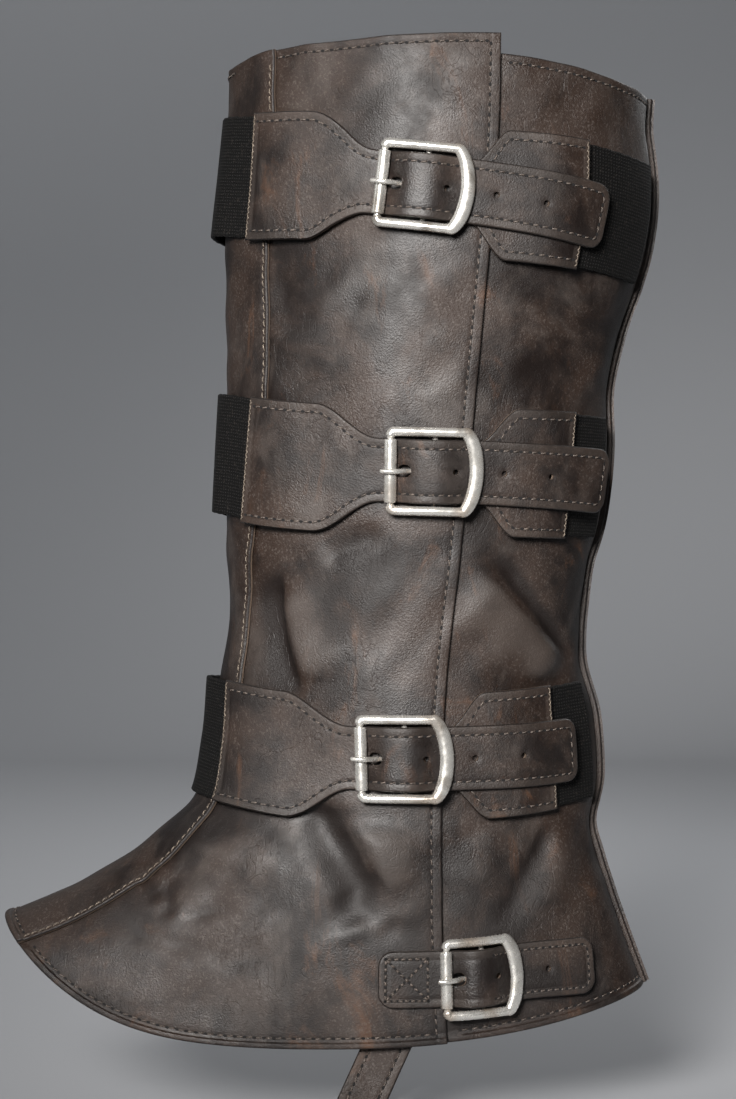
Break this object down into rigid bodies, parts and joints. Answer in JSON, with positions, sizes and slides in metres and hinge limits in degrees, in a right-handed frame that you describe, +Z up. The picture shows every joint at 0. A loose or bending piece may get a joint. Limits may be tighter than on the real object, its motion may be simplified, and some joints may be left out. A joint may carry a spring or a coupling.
{
  "type": "boot cover",
  "caption": "Hollow leather cover for one calf, ankle and instep in its worn form, with buckled straps on elastic webbing, a short heel strap and a stirrup under the shoe",
  "frame": {"origin": "middle of the leg opening at the top strap, where the wearer's calf holds the cover", "axes": "+Z up the leg, -X towards the toe, -Y to the outer side of the leg, where the buckles are"},
  "size_m": [0.2714, 0.1478, 0.4403],
  "materials": {
    "leather": "waxed, worn",
    "webbing": "ribbed weave",
    "metal": "worn antique nickel"
  },
  "bodies": {
    "root": {"shin_strip": "leather", "side_panel": "leather", "back_panel": "leather", "inner_panel": "leather", "billet_top": "leather", "chape_top": "leather", "buckle_top": "metal", "roller_top": "metal", "prong_top": "metal", "billet_middle": "leather", "chape_middle": "leather", "buckle_middle": "metal", "roller_middle": "metal", "prong_middle": "metal", "billet_ankle": "leather", "chape_ankle": "leather", "buckle_ankle": "metal", "roller_ankle": "metal", "prong_ankle": "metal", "billet_heel": "leather", "chape_heel": "leather", "buckle_heel": "metal", "roller_heel": "metal", "prong_heel": "metal", "webbing_front_top": "webbing", "webbing_back_top": "webbing", "webbing_front_middle": "webbing", "webbing_back_middle": "webbing", "webbing_front_ankle": "webbing", "webbing_back_ankle": "webbing", "stirrup": "leather"}
  },
  "joints": []
}
